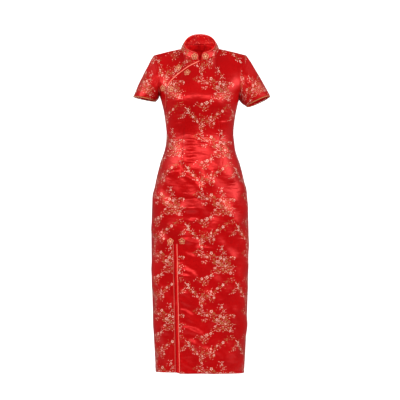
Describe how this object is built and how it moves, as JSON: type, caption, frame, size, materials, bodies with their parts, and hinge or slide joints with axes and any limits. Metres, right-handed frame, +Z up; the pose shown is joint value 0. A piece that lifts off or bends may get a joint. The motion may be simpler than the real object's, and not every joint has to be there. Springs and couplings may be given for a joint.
{
  "type": "cheongsam dress",
  "caption": "Red brocade cheongsam in its worn form: stand collar, diagonal closing with flower frogs, short sleeves, waist darts, narrow ankle-length skirt and a slit at the front.",
  "frame": {"origin": "midway between the shoulders, on the plane of the side seams, at the height of the shoulder seams' ends by the neck, where the wearer's shoulders carry the dress", "axes": "+X towards the wearer's left, -Y towards the front, +Z up from the hem to the collar"},
  "size_m": [0.5051, 0.2367, 1.2515],
  "materials": {
    "brocade": "red satin-ground brocade with a plum-blossom figure",
    "plain_satin": "plain red satin",
    "piping_cord": "rolled satin piping in light red",
    "frog_cord": "looped red and gold cord"
  },
  "bodies": {
    "root": {"front_main": "brocade", "chest_right": "brocade", "back_left": "brocade", "back_right": "brocade", "sleeve_left": "brocade", "sleeve_right": "brocade", "collar_left": "brocade", "collar_right": "brocade", "slit_band": "plain_satin", "piping_closing": "piping_cord", "piping_collar_left": "piping_cord", "piping_collar_right": "piping_cord", "piping_slit_left": "piping_cord", "piping_slit_right": "piping_cord", "piping_cuff_left": "piping_cord", "piping_cuff_right": "piping_cord", "frog_collar_left": "frog_cord", "frog_collar_right": "frog_cord", "frog_chest_upper": "frog_cord", "frog_chest_lower": "frog_cord", "frog_side_front": "frog_cord", "frog_side_arm": "frog_cord", "frog_slit_left": "frog_cord", "frog_slit_right": "frog_cord"}
  },
  "joints": []
}
